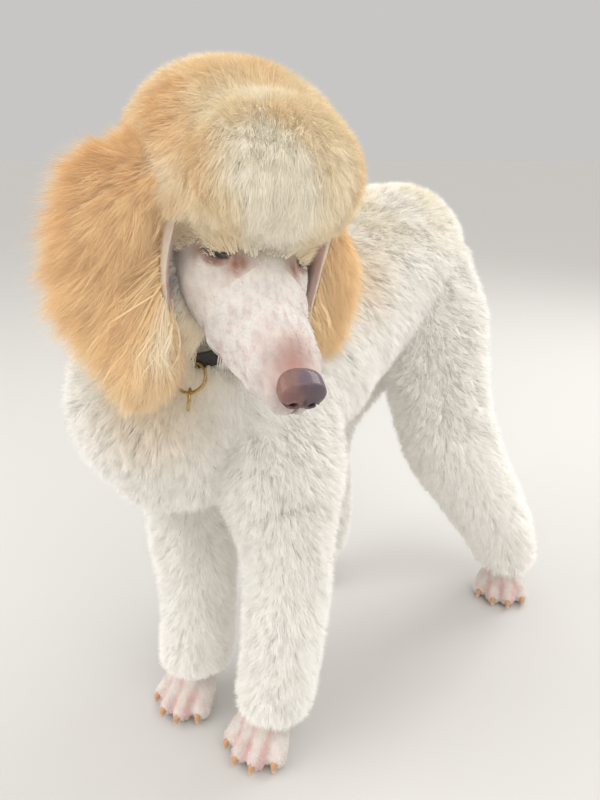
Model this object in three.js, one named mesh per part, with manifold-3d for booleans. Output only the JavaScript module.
// Young standard poodle standing on all fours, its head lowered and turned to its left, in a puppy coat
// with shaved face and feet. Millimetres, +Z up. The dog faces -Y, its own left side is +X, and the floor
// is Z = 0. The origin is the middle of the outline's foot.
import * as THREE from 'three';
import { mergeVertices } from 'three/addons/utils/BufferGeometryUtils.js';
import Module from 'manifold-3d';

const wasm = await Module();
wasm.setup();

// Clearance between touching parts.
const GAP = 0.3;
// Side of the blocks that cut the body into parts.
const REACH = 900;
const LEG_BLOCK_WIDTH = 300;
// Share of the coat's depth that the smooth core under the clumps fills.
const CORE = 0.45;

// Trunk: places along the spine, half width and half height of the skin, coat depth.
const TRUNK = [
  { at: [-26, -228, 402], wide: 56, deep: 66, coat: 34 },
  { at: [-25, -195, 410], wide: 84, deep: 98, coat: 36 },
  { at: [-20, -140, 428], wide: 88, deep: 110, coat: 32 },
  { at: [-12, -90, 446], wide: 76, deep: 98, coat: 28 },
  { at: [-9, -40, 467], wide: 68, deep: 87, coat: 25 },
  { at: [-8, 10, 483], wide: 62, deep: 78, coat: 24 },
  { at: [-7, 58, 492], wide: 60, deep: 75, coat: 24 },
  { at: [-9, 92, 492], wide: 56, deep: 73, coat: 25 },
  { at: [-13, 112, 488], wide: 47, deep: 66, coat: 26 },
  { at: [-15, 122, 480], wide: 34, deep: 51, coat: 26 },
];

// Breast and shoulders, where the coat stands out in front, from the brisket up to the throat.
const BREAST = [
  { at: [-32, -205, 350], wide: 56, deep: 52, coat: 36 },
  { at: [-34, -220, 400], wide: 64, deep: 62, coat: 38 },
  { at: [-26, -212, 448], wide: 60, deep: 56, coat: 38 },
];

// Neck, from between the shoulders up to the back of the skull.
const NECK = [
  { at: [-8, -160, 420], wide: 74, deep: 76, coat: 30 },
  { at: [14, -204, 486], wide: 50, deep: 50, coat: 30 },
  { at: [32, -204, 540], wide: 46, deep: 46, coat: 26 },
  { at: [44, -200, 575], wide: 44, deep: 44, coat: 24 },
];

// Legs, from the trunk down to the cuff above each shaved foot.
const FORELEG_LEFT = [
  { at: [56, -162, 340], wide: 34, deep: 48, coat: 26 },
  { at: [66, -163, 240], wide: 21, deep: 24, coat: 27 },
  { at: [68, -174, 140], wide: 17, deep: 18, coat: 29 },
  { at: [64, -183, 66], wide: 17, deep: 19, coat: 28 },
];
const FORELEG_RIGHT = [
  { at: [-64, -182, 340], wide: 34, deep: 48, coat: 28 },
  { at: [-59, -191, 240], wide: 22, deep: 25, coat: 30 },
  { at: [-50, -198, 140], wide: 17, deep: 18, coat: 29 },
  { at: [-48, -208, 66], wide: 17, deep: 19, coat: 28 },
];
const HINDLEG_LEFT = [
  { at: [36, 102, 430], wide: 42, deep: 52, coat: 26 },
  { at: [68, 108, 300], wide: 32, deep: 42, coat: 27 },
  { at: [86, 162, 205], wide: 24, deep: 31, coat: 29 },
  { at: [100, 218, 120], wide: 19, deep: 25, coat: 31 },
  { at: [112, 238, 64], wide: 17, deep: 19, coat: 30 },
];
const HINDLEG_RIGHT = [
  { at: [-46, 98, 430], wide: 42, deep: 52, coat: 26 },
  { at: [-76, 14, 300], wide: 32, deep: 42, coat: 27 },
  { at: [-92, 34, 205], wide: 22, deep: 30, coat: 28 },
  { at: [-106, 66, 120], wide: 17, deep: 22, coat: 30 },
  { at: [-112, 66, 64], wide: 17, deep: 19, coat: 29 },
];

// Tail, hanging behind the thighs from its root in the rump.
const TAIL = [
  { at: [-16, 122, 510], wide: 22, deep: 22, coat: 0 },
  { at: [-28, 172, 478], wide: 12, deep: 12, coat: 18 },
  { at: [-42, 196, 415], wide: 9, deep: 9, coat: 28 },
  { at: [-48, 198, 350], wide: 6, deep: 6, coat: 29 },
  { at: [-50, 192, 302], wide: 3, deep: 3, coat: 24 },
];

// Outlines in (Y, Z) of the blocks that part the forelegs and the hind legs from the trunk.
const FORE_OUTLINE = [[-450, -20], [-72, -20], [-72, 282], [-450, 282]];
const HIND_OUTLINE = [[-72, -20], [450, -20], [450, 366], [10, 366], [-72, 324]];
// Where the shaved feet end, and the head's shaved face.
const CUFF_HEIGHT = 62;
const FACE_EDGE = { ahead: -24, brow: 22 };
// Neck's part seen from its left side, in (Y, Z), and the head's in its own (forward, up).
const NECK_OUTLINE = [[-340, 371], [-95, 494.5], [-95, 760], [-340, 760]];
const HEAD_OUTLINE = [[-29, -80], [160, -98], [160, 260], [-261, 260], [-261, 194]];

// Head: its origin lies between the eyes, its axes point forward, left and up.
const HEAD_AT = [107, -226, 551];
const HEAD_YAW = 67.5;
const HEAD_PITCH = 16.1;
const HEAD_ROLL = -9.6;
const FACE = [
  { at: [-58, 0, -14], wide: 52, deep: 54 },
  { at: [-15, 0, -26], wide: 46, deep: 46 },
  { at: [20, 0, -36], wide: 38, deep: 40 },
  { at: [50, 0, -39], wide: 31, deep: 31 },
  { at: [80, 0, -39], wide: 26, deep: 25 },
  { at: [101, 0, -38], wide: 20, deep: 19 },
];
const TOPKNOT = [
  { at: [-125, -12, 20], wide: 44, deep: 44, coat: 22 },
  { at: [-88, -9, 36], wide: 57, deep: 50, coat: 27 },
  { at: [-40, 0, 46], wide: 56, deep: 46, coat: 29 },
  { at: [-2, 2, 60], wide: 42, deep: 28, coat: 23 },
];
const EYE_AT = [-7, 25, -3];
const EYE_RADIUS = 10.5;
const EYE_LOOK = [0.62, 0.62, 0.36];
const EYE_SLIT = { long: 17, high: 5.5, tilt: 8 };
const LID_THICKNESS = 2.4;
// Line of the mouth: its turn below level at the front, the side and the corner, and its reach backwards.
const MOUTH = { front: -90, side: -54, corner: -42, lead: 1.1, reach: 0.44, groove: 1.3, lip: 3.2 };
const NOSE = [
  { at: [96, 0, -29], wide: 12, deep: 9 },
  { at: [105, 0, -29], wide: 15.5, deep: 12.5 },
  { at: [113, 0, -30], wide: 15, deep: 12 },
];
const NOSTRIL = { ahead: 118, out: 6.2, up: -29, size: [6, 2.6, 3.4] };
const NOSTRIL_TAIL = { ahead: 115, out: 10.5, up: -31.5, size: [6, 3.6, 1.2], turn: 30 };

// Ears in the head's axes: leather and the hair on it. The right one is shaken outwards.
const EAR_LEFT = [
  { at: [-52, 64, 12], wide: 42, deep: 22, coat: 0 },
  { at: [-60, 88, -28], wide: 30, deep: 6, coat: 24 },
  { at: [-64, 95, -78], wide: 30, deep: 6, coat: 24 },
  { at: [-58, 92, -122], wide: 14, deep: 4, coat: 20 },
];
const EAR_RIGHT = [
  { at: [-62, -70, 38], wide: 50, deep: 32, coat: 0 },
  { at: [-68, -98, -5], wide: 22, deep: 8, coat: 40 },
  { at: [-58, -104, -62], wide: 18, deep: 6, coat: 40 },
  { at: [-10, -76, -114], wide: 14, deep: 3, coat: 28 },
];
const EAR_HANG = [0.02, 0, -1];
const EAR_CUP = { at: [-26, 52, -14], size: [12, 8, 22] };
// Room that an ear or the tail keeps round it, away from its root.
const POCKET_ROOM = 8;

// Rounded clumps of curls: sides, half width as a share of the pitch, unevenness of their size and height,
// depth that hides one, and their profile from the root up to the crown, as shares of width and height.
const CLUMP = { sides: 6, share: 0.66, uneven: 0.16, rise: 5, buried: 20, high: 27, root: 12 };
// Shortest edge that the fleece keeps, the smallest face (twice its area) and the sharpest turn of one.
const SEAM = { shortest: 14, area: 4, turn: 0.6 };
const CLUMP_PROFILE = [[1, 0], [0.74, 0.78], [0, 1]];
// Rows of clumps stand closer than the clumps in a row.
const ROW_SHARE = 0.87;
const SEED = 17;
// Locks of the ears: spacing, length, half width and thickness, how deep they root, and their taper.
const LOCK = {
  pitch: 43,
  long: 66,
  wide: 15,
  deep: 3.6,
  sunk: 6,
  sway: 14,
  spread: 0.2,
  taper: [0.8, 1, 0.75, 0.14],
  stand: [0, 0.75, 1.05, 1],
};

// Feet: where each stands and how far its toes turn to the dog's left.
const FEET = {
  foreleg_left: { at: [59, -201], turn: 18 },
  foreleg_right: { at: [-48, -223], turn: 16 },
  hindleg_left: { at: [114, 229], turn: 30 },
  hindleg_right: { at: [-112, 55], turn: -6 },
};
// Toes of one foot: place across and ahead of the foot's middle, and how far each points outwards.
const TOES = [
  { out: -26, ahead: 9, splay: -10 },
  { out: -9.5, ahead: 22, splay: -2 },
  { out: 9.5, ahead: 22, splay: 2 },
  { out: 26, ahead: 9, splay: 10 },
];
const TOE = { wide: 10.4, high: 12.5 };
const CLAW = { wide: 3.4, high: 4, reach: 16 };

// Collar round the foot of the neck, and the ring that hangs from it.
const COLLAR = { at: [16, -206, 486], normal: [0.1, -0.4, 0.9], high: 15, thick: 2.4, wide: 55, deep: 55 };
const TRENCH = 50;
// The collar's D-ring leaves it at a turn from the dog's left and drops below level. The loose ring hangs in it.
const LUG = { turn: -57, drop: 29, middle: 13, wire: 1.5, sunk: 1.5, room: 3 };
const RING = { middle: 8.5, wire: 1.3, turn: 62, room: 15 };

function vec(p) {
  return new THREE.Vector3(...p);
}

const UPRIGHT = vec([0, 1, 0]);

/** Closed body of oval sections along a smooth spine, both ends domed. */
class Loft {
  constructor(stations, options = {}) {
    const plain = { side: [1, 0, 0], fill: CORE, dome: 0.75, around: 12, along: 8, domeRings: 2, square: 2 };
    Object.assign(this, plain, { swell: () => 0 }, options);
    this.stations = stations;
    this.side = vec(this.side).normalize();
    this.curve = new THREE.CatmullRomCurve3(stations.map((s) => vec(s.at)), false, 'centripetal');
    this.rings = this.along + 2 * this.domeRings;
  }

  /** Section at share u of the spine: centre, tangent, axes and half sizes. */
  section(u) {
    const last = this.stations.length - 1;
    const t = THREE.MathUtils.clamp(u, 0, 1);
    const tangent = this.curve.getTangent(t).normalize();
    const wideAxis = this.side.clone().addScaledVector(tangent, -this.side.dot(tangent)).normalize();
    const deepAxis = tangent.clone().cross(wideAxis);
    const i = Math.min(Math.floor(t * last), last - 1);
    const ease = THREE.MathUtils.smoothstep(t * last - i, 0, 1);
    const [from, to] = [this.stations[i], this.stations[i + 1]];
    const mix = (key) => THREE.MathUtils.lerp(from[key] ?? 0, to[key] ?? 0, ease);
    const grow = mix('coat') * this.fill + this.swell(t);
    const [wide, deep] = [mix('wide') + grow, mix('deep') + grow];
    return { centre: this.curve.getPoint(t), tangent, wideAxis, deepAxis, wide, deep, coat: mix('coat') };
  }

  /** Ring r, whole or between two rings, counted from the first dome's pole. */
  ring(r) {
    if (r < this.domeRings) return this.domeRing(0, r / this.domeRings, -1);
    if (r > this.rings - this.domeRings) return this.domeRing(1, (this.rings - r) / this.domeRings, 1);
    return { ...this.section((r - this.domeRings) / this.along), scale: 1 };
  }

  domeRing(u, rise, sense) {
    const s = this.section(u);
    const angle = rise * Math.PI / 2;
    const reach = Math.min(s.wide, s.deep) * this.dome * Math.cos(angle) * sense;
    return { ...s, centre: s.centre.clone().addScaledVector(s.tangent, reach), scale: Math.sin(angle) };
  }

  point(ring, angle) {
    const bulge = (x) => Math.sign(x) * Math.abs(x) ** (2 / this.square);
    return ring.centre.clone()
      .addScaledVector(ring.wideAxis, bulge(Math.cos(angle)) * ring.wide * ring.scale)
      .addScaledVector(ring.deepAxis, bulge(Math.sin(angle)) * ring.deep * ring.scale);
  }

  /** Outward direction of the surface at ring r and an angle round it. */
  normal(r, angle) {
    const step = 0.02;
    const [a, b] = [Math.max(r - step, 0.001), Math.min(r + step, this.rings - 0.001)];
    const along = this.point(this.ring(b), angle).sub(this.point(this.ring(a), angle));
    const round = this.point(this.ring(r), angle + step).sub(this.point(this.ring(r), angle - step));
    return round.cross(along).normalize();
  }

  /** True where a point lies deeper than a margin inside the body. */
  holds(p, margin) {
    const samples = 24;
    let near = null;
    for (let i = 0; i <= samples; i += 1) {
      const s = this.section(i / samples);
      const d = s.centre.distanceTo(p);
      if (!near || d < near.d) near = { s, d };
    }
    const off = p.clone().sub(near.s.centre);
    const end = Math.min(near.s.wide, near.s.deep) * this.dome;
    const [w, h, t] = [near.s.wide, near.s.deep, end].map((x) => x - margin);
    const parts = [off.dot(near.s.wideAxis) / w, off.dot(near.s.deepAxis) / h, off.dot(near.s.tangent) / t];
    return w > 0 && h > 0 && Math.hypot(...parts) < 1;
  }

  geometry() {
    const ball = new THREE.SphereGeometry(1, this.around, this.rings);
    const position = ball.getAttribute('position');
    for (let r = 0; r <= this.rings; r += 1) {
      const ring = this.ring(r);
      for (let j = 0; j <= this.around; j += 1) {
        const p = this.point(ring, (-j / this.around) * Math.PI * 2);
        position.setXYZ(r * (this.around + 1) + j, p.x, p.y, p.z);
      }
    }
    return ball;
  }
}

/** Matrix that takes the head's own axes (forward, left, up) into the dog's. */
function headMatrix() {
  const [yaw, pitch, roll] = [HEAD_YAW, HEAD_PITCH, HEAD_ROLL].map(THREE.MathUtils.degToRad);
  const heading = new THREE.Vector3(Math.sin(yaw), -Math.cos(yaw), 0).multiplyScalar(Math.cos(pitch));
  const forward = heading.setZ(-Math.sin(pitch));
  const level = new THREE.Vector3(Math.cos(yaw), Math.sin(yaw), 0);
  const upright = forward.clone().cross(level);
  const left = level.clone().multiplyScalar(Math.cos(roll)).addScaledVector(upright, Math.sin(roll));
  return new THREE.Matrix4().makeBasis(forward, left, forward.clone().cross(left)).setPosition(...HEAD_AT);
}

const HEAD_FRAME = headMatrix();

/** Stations in the head's axes, taken into the dog's. */
function inHead(stations) {
  return stations.map((s) => ({ ...s, at: vec(s.at).applyMatrix4(HEAD_FRAME).toArray() }));
}

function headDirection(p) {
  return vec(p).transformDirection(HEAD_FRAME).toArray();
}

/** Manifold solid of a closed geometry, placed by a matrix. */
function solid(geometry, matrix = null) {
  const placed = geometry.clone();
  if (matrix) placed.applyMatrix4(matrix);
  placed.deleteAttribute('normal');
  placed.deleteAttribute('uv');
  const bare = mergeVertices(placed, 1e-4);
  const mesh = new wasm.Mesh({
    numProp: 3,
    vertProperties: new Float32Array(bare.getAttribute('position').array),
    triVerts: new Uint32Array(bare.index.array),
  });
  mesh.merge();
  return new wasm.Manifold(mesh);
}

/** Closed surface whose shortest edges are drawn together, so that seams between clumps carry few points. */
class Seams {
  constructor(body) {
    const mesh = body.getMesh();
    const shell = new THREE.BufferGeometry();
    shell.setAttribute('position', new THREE.BufferAttribute(new Float32Array(mesh.vertProperties), 3));
    shell.setIndex(new THREE.BufferAttribute(new Uint32Array(mesh.triVerts), 1));
    const merged = mergeVertices(shell, 1e-4);
    const position = merged.getAttribute('position');
    const point = (i) => new THREE.Vector3().fromBufferAttribute(position, i);
    this.points = Array.from({ length: position.count }, (_, i) => point(i));
    const index = merged.index.array;
    this.faces = Array.from({ length: index.length / 3 }, (_, i) => [...index.slice(3 * i, 3 * i + 3)]);
    this.facesAt = this.points.map(() => new Set());
    this.faces.forEach((face, i) => face.forEach((corner) => this.facesAt[corner].add(i)));
  }

  neighbours(corner) {
    const near = new Set();
    for (const i of this.facesAt[corner]) this.faces[i].forEach((other) => near.add(other));
    near.delete(corner);
    return near;
  }

  normal(corners) {
    const [a, b, c] = corners;
    return b.clone().sub(a).cross(c.clone().sub(a));
  }

  /** Draws one edge together at its middle, where that neither folds a face over nor pinches the surface. */
  draw(a, b) {
    const near = this.neighbours(b);
    const shared = [...this.neighbours(a)].filter((corner) => near.has(corner));
    if (shared.length !== 2) return false;
    const middle = this.points[a].clone().lerp(this.points[b], 0.5);
    const around = [...new Set([...this.facesAt[a], ...this.facesAt[b]])];
    const kept = around.filter((i) => !(this.faces[i].includes(a) && this.faces[i].includes(b)));
    for (const i of kept) {
      const before = this.normal(this.faces[i].map((corner) => this.points[corner]));
      const ends = this.faces[i].map((corner) => (corner === a || corner === b ? middle : this.points[corner]));
      const after = this.normal(ends);
      const folded = after.dot(before) < SEAM.turn * after.length() * before.length();
      if (folded || after.length() < SEAM.area) return false;
    }
    this.points[a] = middle;
    for (const i of around) {
      if (kept.includes(i)) {
        this.faces[i] = this.faces[i].map((corner) => (corner === b ? a : corner));
        this.facesAt[a].add(i);
      } else {
        this.faces[i].forEach((corner) => this.facesAt[corner].delete(i));
        this.faces[i] = null;
      }
    }
    this.facesAt[b].clear();
    return true;
  }

  /** Solid without edges shorter than a length, as far as its shape allows. */
  drawn(shortest) {
    for (let changed = true; changed;) {
      changed = false;
      const edges = this.faces.filter(Boolean)
        .flatMap((face) => face.map((corner, i) => [corner, face[(i + 1) % 3]]));
      const short = edges.filter(([a, b]) => a < b)
        .map(([a, b]) => ({ a, b, length: this.points[a].distanceTo(this.points[b]) }))
        .filter(({ length }) => length < shortest)
        .sort((one, other) => one.length - other.length);
      const touched = new Set();
      for (const { a, b } of short) {
        if (touched.has(a) || touched.has(b)) continue;
        if (!this.draw(a, b)) continue;
        [a, b, ...this.neighbours(a)].forEach((corner) => touched.add(corner));
        changed = true;
      }
    }
    const shell = new THREE.BufferGeometry();
    const position = this.points.flatMap((p) => p.toArray());
    shell.setAttribute('position', new THREE.Float32BufferAttribute(position, 3));
    shell.setIndex(this.faces.filter(Boolean).flat());
    return solid(shell);
  }
}

/** Geometry of the largest closed surface of a solid. */
function geometryOf(body) {
  const largest = body.decompose().reduce((a, b) => (b.volume() > a.volume() ? b : a));
  const mesh = largest.getMesh();
  const geometry = new THREE.BufferGeometry();
  geometry.setAttribute('position', new THREE.BufferAttribute(new Float32Array(mesh.vertProperties), 3));
  geometry.setIndex(new THREE.BufferAttribute(new Uint32Array(mesh.triVerts), 1));
  geometry.computeVertexNormals();
  return geometry;
}

const union = (bodies) => wasm.Manifold.union(bodies);
const loftSolid = (loft) => solid(loft.geometry());

/** Convex outline moved outwards by a clearance; its corners run anticlockwise. */
function grown(outline, by) {
  const count = outline.length;
  const edges = outline.map((p, i) => {
    const q = outline[(i + 1) % count];
    const along = new THREE.Vector2(q[0] - p[0], q[1] - p[1]).normalize();
    return { along, start: new THREE.Vector2(p[0] + along.y * by, p[1] - along.x * by) };
  });
  return edges.map((edge, i) => {
    const before = edges[(i + count - 1) % count];
    const share = edge.start.clone().sub(before.start).cross(edge.along) / before.along.cross(edge.along);
    return before.start.clone().addScaledVector(before.along, share);
  });
}

/** Block over a convex outline, extruded both ways along the third axis of a frame. */
function block(outline, half, frame, by = 0) {
  const shape = new THREE.Shape(grown(outline, by));
  const plate = new THREE.ExtrudeGeometry(shape, { depth: 2 * half, bevelEnabled: false });
  plate.translate(0, 0, -half);
  return solid(plate, frame);
}

/** Frames whose third axis points left: outline in (Y, Z), or in the head's (forward, up). */
const BODY_SIDE = new THREE.Matrix4().makeBasis(vec([0, 1, 0]), vec([0, 0, 1]), vec([1, 0, 0]));
const HEAD_SIDE = HEAD_FRAME.clone().multiply(
  new THREE.Matrix4().makeBasis(vec([1, 0, 0]), vec([0, 0, 1]), vec([0, -1, 0])),
);

function box(low, high, by = 0) {
  const size = vec(high).sub(vec(low)).addScalar(2 * by);
  const middle = vec(low).add(vec(high)).multiplyScalar(0.5);
  return solid(new THREE.BoxGeometry(size.x, size.y, size.z).translate(middle.x, middle.y, middle.z));
}

/** Repeatable random numbers from 0 to 1. */
function randomFrom(seed) {
  let state = seed >>> 0;
  return () => {
    state = (state * 1664525 + 1013904223) >>> 0;
    return state / 4294967296;
  };
}

/** Places on a loft, in staggered rows about one pitch apart, with the outward direction at each. */
function places(loft, pitch, random) {
  const fine = 6 * loft.rings;
  const spots = [];
  let run = pitch / 2;
  let row = 0;
  for (let i = 1; i <= fine; i += 1) {
    const [r0, r1] = [(i - 1) / fine * loft.rings, i / fine * loft.rings];
    const [a, b] = [loft.ring(r0), loft.ring(r1)];
    const steps = [0, Math.PI / 2].map((angle) => loft.point(a, angle).distanceTo(loft.point(b, angle)));
    run += (steps[0] + steps[1]) / 2;
    if (run < pitch * ROW_SHARE) continue;
    run -= pitch * ROW_SHARE;
    row += 1;
    const round = Math.PI * 2 * Math.hypot(b.wide, b.deep) / Math.SQRT2 * b.scale;
    const count = Math.max(1, Math.round(round / pitch));
    for (let j = 0; j < count; j += 1) {
      const angle = ((j + (row % 2) / 2 + (random() - 0.5) * 0.3) / count) * Math.PI * 2;
      const r = THREE.MathUtils.clamp(r1 + (random() - 0.5) * 0.15, 0.05, loft.rings - 0.05);
      spots.push({ at: loft.point(loft.ring(r), angle), out: loft.normal(r, angle), r, angle });
    }
  }
  return spots;
}

/** One rounded clump of curls, rooted in the core, whose crown lies at a place on the coat's surface. */
function clump({ at, out }, size, lift, random) {
  const across = size * (1 - CLUMP.uneven / 2 + CLUMP.uneven * random());
  const profile = CLUMP_PROFILE.map(([x, y]) => new THREE.Vector2(x * across, y * CLUMP.high));
  const form = new THREE.LatheGeometry([new THREE.Vector2(0, -CLUMP.root), ...profile], CLUMP.sides);
  const turn = new THREE.Quaternion().setFromUnitVectors(UPRIGHT, out);
  const twist = new THREE.Quaternion().setFromAxisAngle(UPRIGHT, random() * Math.PI * 2);
  const rise = lift + (random() - 0.5) * CLUMP.rise;
  const foot = at.clone().addScaledVector(out, rise - CLUMP.high);
  return solid(form, new THREE.Matrix4().compose(foot, turn.multiply(twist), vec([1, 1, 1])));
}

/** Clumps all over one loft, but for the places that another form hides or that stay bare. */
function fleece({ stations, options, pitch, lift }, hidden, bare) {
  const tips = new Loft(stations, { ...options, fill: 1 });
  const random = randomFrom(SEED + Math.round(pitch) + stations.length);
  return places(tips, pitch, random)
    .filter(({ at }) => !bare(at) && !hidden.some((other) => other.holds(at, CLUMP.buried)))
    .map((spot) => clump(spot, pitch * CLUMP.share, lift, random));
}

/** One flat, tapered lock that leaves the ear's core, bends down along its lie and ends in a point. */
function lock({ at, out }, lie, length, rise, random) {
  const steps = 3;
  const side = out.clone().cross(lie).normalize();
  const sway = (random() - 0.5) * LOCK.sway;
  const stations = [];
  for (let i = 0; i <= steps; i += 1) {
    const k = i / steps;
    const stand = rise * LOCK.stand[i] - LOCK.sunk * (1 - k);
    const spot = at.clone()
      .addScaledVector(lie, length * k)
      .addScaledVector(out, stand)
      .addScaledVector(side, sway * k * k);
    const taper = LOCK.taper[i];
    stations.push({ at: spot.toArray(), wide: LOCK.wide * taper, deep: LOCK.deep * taper });
  }
  const form = { side: side.toArray(), around: 4, along: 3, domeRings: 1, dome: 1 };
  return loftSolid(new Loft(stations, form));
}

/** Tube along a path, for the line of the mouth and the lips over it. */
function mouthTube(face, radius, raise, sunk) {
  const count = 10;
  const stations = [];
  for (let i = 0; i <= count; i += 1) {
    const s = (i / count) * 2 - 1;
    const k = Math.abs(s);
    const round = (MOUTH.side - MOUTH.front) * Math.min(1, k * 4);
    const below = MOUTH.front + round + (MOUTH.corner - MOUTH.side) * k;
    const turn = THREE.MathUtils.degToRad(below + raise);
    const angle = s > 0 ? turn : Math.PI - turn;
    const r = THREE.MathUtils.lerp(face.rings - MOUTH.lead, face.domeRings + face.along * MOUTH.reach, k);
    const spot = face.point(face.ring(r), angle).addScaledVector(face.normal(r, angle), -sunk);
    const slim = 1 - 0.45 * k ** 6;
    stations.push({ at: spot.toArray(), wide: radius * slim, deep: radius * slim });
  }
  const side = headDirection([0, 0, 1]);
  return loftSolid(new Loft(stations, { side, around: 5, along: 10, domeRings: 1 }));
}

function headBall(at, radii, turnDegrees = 0, around = 12, rings = 8) {
  const ball = new THREE.SphereGeometry(1, around, rings).scale(...radii);
  return solid(ball.rotateX(THREE.MathUtils.degToRad(turnDegrees)).translate(...at), HEAD_FRAME);
}

/** Flat cut through the head in its own axes, used for the eye's slit: long, deep and high half sizes. */
function slit(sense) {
  const look = vec([EYE_LOOK[0], EYE_LOOK[1] * sense, EYE_LOOK[2]]).normalize();
  const across = vec([0, 0, 1]).cross(look).normalize();
  const upwards = look.clone().cross(across).negate();
  const turn = new THREE.Matrix4().makeBasis(across, upwards, look.clone().negate());
  const tilt = new THREE.Matrix4().makeRotationZ(THREE.MathUtils.degToRad(EYE_SLIT.tilt * sense));
  const centre = vec([EYE_AT[0], EYE_AT[1] * sense, EYE_AT[2]]).addScaledVector(look, EYE_RADIUS);
  const lens = new THREE.SphereGeometry(1, 10, 6).scale(EYE_SLIT.long / 2, EYE_SLIT.high / 2, 5);
  lens.applyMatrix4(tilt).applyMatrix4(turn).translate(...centre.toArray());
  return solid(lens, HEAD_FRAME);
}

function eyeBall(sense, radius, around = 12, rings = 7) {
  return headBall([EYE_AT[0], EYE_AT[1] * sense, EYE_AT[2]], [radius, radius, radius], 0, around, rings);
}

/** Frame of a foot: its axes point out, ahead and up. */
function footFrame({ at, turn }) {
  const spin = THREE.MathUtils.degToRad(turn - 90);
  return new THREE.Matrix4().makeRotationZ(spin).setPosition(at[0], at[1], 0);
}

function inFoot(foot, stations) {
  return stations.map((s) => ({ ...s, at: vec(s.at).applyMatrix4(footFrame(foot)).toArray() }));
}

function toe(foot, { out, ahead, splay }, swell = 0) {
  const drift = Math.tan(THREE.MathUtils.degToRad(splay));
  const stations = inFoot(foot, [
    { at: [ahead - 34, -out * 0.55, 30], wide: TOE.wide * 0.8, deep: TOE.high * 0.8 },
    { at: [ahead - 12, -out * 0.92, 22], wide: TOE.wide, deep: TOE.high * 0.95 },
    { at: [ahead + 4, -(out + drift * 16), 10], wide: TOE.wide, deep: TOE.high },
  ]);
  const side = vec([0, 1, 0]).transformDirection(footFrame(foot)).toArray();
  return loftSolid(new Loft(stations, { side, around: 7, along: 2, dome: 0.8, swell: () => swell }));
}

function claw(foot, { out, ahead, splay }) {
  const drift = Math.tan(THREE.MathUtils.degToRad(splay));
  const stations = inFoot(foot, [
    { at: [ahead + 4, -(out + drift * 16), 14], wide: CLAW.wide, deep: CLAW.high },
    { at: [ahead + 13, -(out + drift * 25), 11.5], wide: CLAW.wide, deep: CLAW.high },
    { at: [ahead + CLAW.reach, -(out + drift * 32), 5.5], wide: CLAW.wide * 0.45, deep: CLAW.high * 0.5 },
  ]);
  const side = vec([0, 1, 0]).transformDirection(footFrame(foot)).toArray();
  return loftSolid(new Loft(stations, { side, around: 4, along: 2, domeRings: 1 }));
}

function paw(foot) {
  const side = vec([0, 1, 0]).transformDirection(footFrame(foot)).toArray();
  const instep = new Loft(inFoot(foot, [
    { at: [-16, 0, 74], wide: 19, deep: 19 },
    { at: [-12, 0, 38], wide: 25, deep: 20 },
    { at: [-2, 0, 22], wide: 30, deep: 20 },
  ]), { side, around: 8, along: 2, domeRings: 1 });
  const heel = new Loft(inFoot(foot, [
    { at: [-14, 0, 9], wide: 18, deep: 10.5 },
    { at: [8, 0, 9], wide: 21, deep: 10.5 },
  ]), { side, around: 8, along: 1 });
  return [loftSolid(instep), loftSolid(heel), ...TOES.map((t) => toe(foot, t))];
}

/** Ring of oval bars, such as the collar: between two ovals, high along the third axis of its frame. */
function band(frame, [wide, deep], thick, high) {
  const shape = new THREE.Shape().absellipse(0, 0, wide + thick, deep + thick, 0, Math.PI * 2);
  shape.holes.push(new THREE.Path().absellipse(0, 0, wide, deep, 0, Math.PI * 2));
  const ring = new THREE.ExtrudeGeometry(shape, { depth: high, bevelEnabled: false, curveSegments: 10 });
  return solid(ring.translate(0, 0, -high / 2), frame);
}

const LEGS = {
  foreleg_left: FORELEG_LEFT,
  foreleg_right: FORELEG_RIGHT,
  hindleg_left: HINDLEG_LEFT,
  hindleg_right: HINDLEG_RIGHT,
};
const HEAD_SPINE = { side: headDirection([0, 1, 0]) };
const EAR_SPINE = { side: headDirection([1, 0, 0]) };

/** Forms of the flesh: stations, how their sections turn, and the pitch of the clumps on them. */
const FORMS = [
  { stations: TRUNK, options: { around: 14, along: 12 }, pitch: 102, lift: 2 },
  { stations: BREAST, options: { along: 6, dome: 0.6 }, pitch: 94, lift: 3 },
  { stations: NECK, options: {}, pitch: 84, lift: 2 },
  { stations: inHead(TOPKNOT), options: HEAD_SPINE, pitch: 70, lift: -3 },
  ...Object.values(LEGS).map((stations) => ({ stations, options: { dome: 0.4 }, pitch: 80, lift: 4 })),
];

const face = new Loft(inHead(FACE), { ...HEAD_SPINE, square: 2.2, around: 16, along: 9, dome: 0.6 });
const toHead = HEAD_FRAME.clone().invert();

/** True where the shaved face or a foot leaves the skin bare of curls. */
function bare(p) {
  const h = p.clone().applyMatrix4(toHead);
  const onFace = h.x > FACE_EDGE.ahead && h.z < FACE_EDGE.brow && h.z > -110 && Math.abs(h.y) < 90;
  return onFace || p.z < CUFF_HEIGHT;
}

const tipsOf = FORMS.map(({ stations, options }) => new Loft(stations, { ...options, fill: 1 }));
const cores = FORMS.map(({ stations, options }) => loftSolid(new Loft(stations, options)));
const curls = FORMS.flatMap((form, i) => fleece(form, tipsOf.filter((_, j) => j !== i), bare));

const lids = [1, -1].map((sense) => eyeBall(sense, EYE_RADIUS + LID_THICKNESS));
const lips = mouthTube(face, MOUTH.lip, 7, MOUTH.lip * 0.45);
const fleeced = new Seams(union([...cores, ...curls])).drawn(SEAM.shortest);
const whole = union([
  fleeced,
  loftSolid(face),
  lips,
  ...lids,
  ...Object.values(FEET).flatMap(paw),
]);

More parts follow.
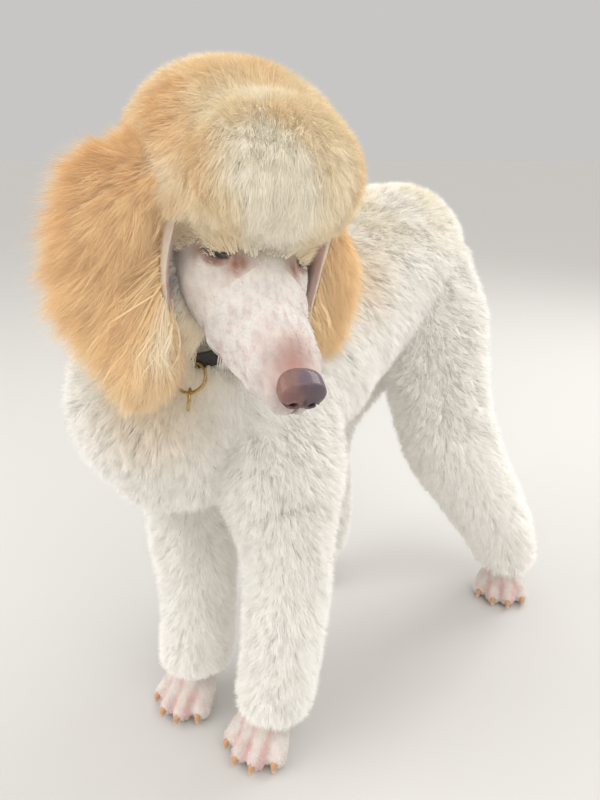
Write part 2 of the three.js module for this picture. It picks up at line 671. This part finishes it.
/** Space that an ear or the tail fills, with room round it that widens away from its root. */
function pocket(stations, options, by) {
  const room = (t) => by + POCKET_ROOM * THREE.MathUtils.smoothstep(t, 0, 0.4);
  return loftSolid(new Loft(stations, { ...options, fill: 1, swell: room, around: 8, along: 6 }));
}

const EARS = {
  ear_left: { stations: inHead(EAR_LEFT), sense: 1 },
  ear_right: { stations: inHead(EAR_RIGHT), sense: -1 },
};
const TAIL_FORM = { stations: TAIL, options: { dome: 0.6 }, pitch: 84, lift: 2 };

const collarNormal = vec(COLLAR.normal).normalize();
const collarSide = vec([1, 0, 0]).addScaledVector(collarNormal, -collarNormal.x).normalize();
const collarFrame = new THREE.Matrix4()
  .makeBasis(collarSide, collarNormal.clone().cross(collarSide), collarNormal)
  .setPosition(...COLLAR.at);
const collarBand = band(collarFrame, [COLLAR.wide, COLLAR.deep], COLLAR.thick, COLLAR.high);

// The D-ring's frame starts on the collar's face: its axes point outwards, across and along its own axle.
const lugFrame = collarFrame.clone()
  .multiply(new THREE.Matrix4().makeRotationZ(THREE.MathUtils.degToRad(LUG.turn)))
  .multiply(new THREE.Matrix4().makeTranslation(COLLAR.wide + COLLAR.thick, 0, 0))
  .multiply(new THREE.Matrix4().makeRotationY(THREE.MathUtils.degToRad(LUG.drop)));
const lugAhead = LUG.middle + LUG.wire - LUG.sunk;
const lug = solid(new THREE.TorusGeometry(LUG.middle, LUG.wire, 5, 14).translate(lugAhead, 0, 0), lugFrame);
const ringAhead = lugAhead + LUG.middle - LUG.wire - GAP - RING.wire + RING.middle;
const hoop = new THREE.TorusGeometry(RING.middle, RING.wire, 5, 14)
  .rotateX(THREE.MathUtils.degToRad(RING.turn))
  .translate(ringAhead, 0, 0);
const lugRoom = union([
  solid(new THREE.SphereGeometry(RING.room, 8, 6).translate(ringAhead, 0, 0), lugFrame),
  solid(new THREE.BoxGeometry(2 * LUG.middle, 2 * (LUG.middle + LUG.room), 2 * LUG.room + 3)
    .translate(lugAhead, 0, 0), lugFrame),
]);
const collarInside = [COLLAR.wide - GAP, COLLAR.deep - GAP];
const collarRoom = band(collarFrame, collarInside, COLLAR.thick + 2 * GAP, COLLAR.high + 2 * GAP);
const collarTrench = band(collarFrame, collarInside, TRENCH, COLLAR.high + 2 * GAP);

const floorSpace = box([-REACH, -REACH, 0], [REACH, REACH, REACH]);
const headBlock = (by) => block(HEAD_OUTLINE, 150, HEAD_SIDE, by);
const neckBlock = (by) => block(NECK_OUTLINE, 170, BODY_SIDE, by);

/** Block round one leg, from the dog's middle plane outwards. */
function legBlock(outline, sense, by) {
  const frame = BODY_SIDE.clone().setPosition(sense * LEG_BLOCK_WIDTH / 2, 0, 0);
  return block(outline, LEG_BLOCK_WIDTH / 2 + by / 2, frame, by);
}

const legBlocks = (by) => ({
  foreleg_left: legBlock(FORE_OUTLINE, 1, by),
  foreleg_right: legBlock(FORE_OUTLINE, -1, by),
  hindleg_left: legBlock(HIND_OUTLINE, 1, by),
  hindleg_right: legBlock(HIND_OUTLINE, -1, by),
});

const pockets = union([
  ...Object.values(EARS).map(({ stations }) => pocket(stations, EAR_SPINE, 0)),
  pocket(TAIL, TAIL_FORM.options, 0),
  lugRoom,
]);
const flesh = whole.intersect(floorSpace).subtract(pockets);

const bodies = {};
const sockets = union([1, -1].flatMap((sense) => [eyeBall(sense, EYE_RADIUS + GAP), slit(sense)]));
const NOSE_FORM = { ...HEAD_SPINE, square: 2.3, dome: 0.5, around: 10, along: 2 };
const nose = (swell) => loftSolid(new Loft(inHead(NOSE), { ...NOSE_FORM, swell: () => swell }));
const nostrilPart = ({ ahead, out, up, size, turn = 0 }, sense) => (
  headBall([ahead, out * sense, up], size, turn * sense, 6, 5)
);
const nostrils = union([1, -1].flatMap((sense) => [NOSTRIL, NOSTRIL_TAIL].map((form) => nostrilPart(form, sense))));
const groove = mouthTube(face, MOUTH.groove, 0, 0);
const apart = [headBlock(0), neckBlock(0), collarTrench, ...Object.values(legBlocks(0))];
bodies.torso = flesh.subtract(union(apart));
bodies.neck = flesh.intersect(neckBlock(-GAP)).subtract(union([headBlock(0), collarTrench]));
bodies.head = flesh.intersect(headBlock(-GAP)).subtract(union([sockets, groove, nose(GAP), collarRoom]));
bodies.nose = nose(0).subtract(union([nostrils, groove]));
for (const [name, room] of Object.entries(legBlocks(-GAP))) bodies[name] = flesh.intersect(room);
for (const sense of [1, -1]) bodies[sense > 0 ? 'eye_left' : 'eye_right'] = eyeBall(sense, EYE_RADIUS);

/** Hair of one ear: locks that leave its outer side and edges, bend down and overlap. */
function earLocks(stations, sense) {
  const core = new Loft(stations, EAR_SPINE);
  const random = randomFrom(SEED + sense);
  const inward = vec(headDirection([0.2, -sense, 0]));
  return places(core, LOCK.pitch, random)
    .filter(({ out, r }) => out.dot(inward) < 0.35 && r > core.domeRings)
    .map((spot) => {
      const lie = vec(EAR_HANG).addScaledVector(spot.out, LOCK.spread).normalize();
      const { coat } = core.section((spot.r - core.domeRings) / core.along);
      return lock(spot, lie, LOCK.long * (0.85 + 0.3 * random()), coat * (1 - CORE), random);
    });
}

for (const [name, { stations, sense }] of Object.entries(EARS)) {
  const core = loftSolid(new Loft(stations, EAR_SPINE));
  const cup = headBall([EAR_CUP.at[0], EAR_CUP.at[1] * sense, EAR_CUP.at[2]], EAR_CUP.size);
  const space = pocket(stations, EAR_SPINE, -GAP);
  const haired = union([core, ...earLocks(stations, sense)]);
  bodies[name] = haired.intersect(space).subtract(union([cup, collarRoom]));
}
const brush = [loftSolid(new Loft(TAIL, TAIL_FORM.options)), ...fleece(TAIL_FORM, [], () => false)];
bodies.tail = new Seams(union(brush)).drawn(SEAM.shortest).intersect(pocket(TAIL, TAIL_FORM.options, -GAP));

bodies.collar = union([collarBand, lug]);
bodies.collar_ring = solid(hoop, lugFrame);

for (const [leg, foot] of Object.entries(FEET)) {
  TOES.forEach((t, i) => {
    const name = `claw_${leg.replace('leg', '')}_${i + 1}`;
    bodies[name] = claw(foot, t).subtract(toe(foot, t, GAP));
  });
}

const FINISH = {
  coat: { color: '#f3ede0', roughness: 0.95, metalness: 0 },
  apricot: { color: '#e3b57c', roughness: 0.95, metalness: 0 },
  horn: { color: '#c79a6c', roughness: 0.45, metalness: 0 },
  nose: { color: '#7a5550', roughness: 0.5, metalness: 0 },
  eye: { color: '#2b1a12', roughness: 0.1, metalness: 0 },
  strap: { color: '#2a2526', roughness: 0.7, metalness: 0 },
  brass: { color: '#c8a860', roughness: 0.3, metalness: 1 },
};

/** Finish of a part, from what it is called. */
function finishOf(name) {
  if (name.startsWith('ear_')) return FINISH.apricot;
  if (name.startsWith('claw_')) return FINISH.horn;
  if (name.startsWith('eye_')) return FINISH.eye;
  return { nose: FINISH.nose, collar: FINISH.strap, collar_ring: FINISH.brass }[name] ?? FINISH.coat;
}

const dog = new THREE.Group();
for (const [name, body] of Object.entries(bodies)) {
  const mesh = new THREE.Mesh(geometryOf(body), new THREE.MeshStandardMaterial(finishOf(name)));
  mesh.name = name;
  dog.add(mesh);
}

// The middle of the outline's foot goes to the origin.
const outline = new THREE.Box3().setFromObject(dog);
const middle = outline.getCenter(new THREE.Vector3());
dog.position.set(-middle.x, -middle.y, -outline.min.z);

export default dog;
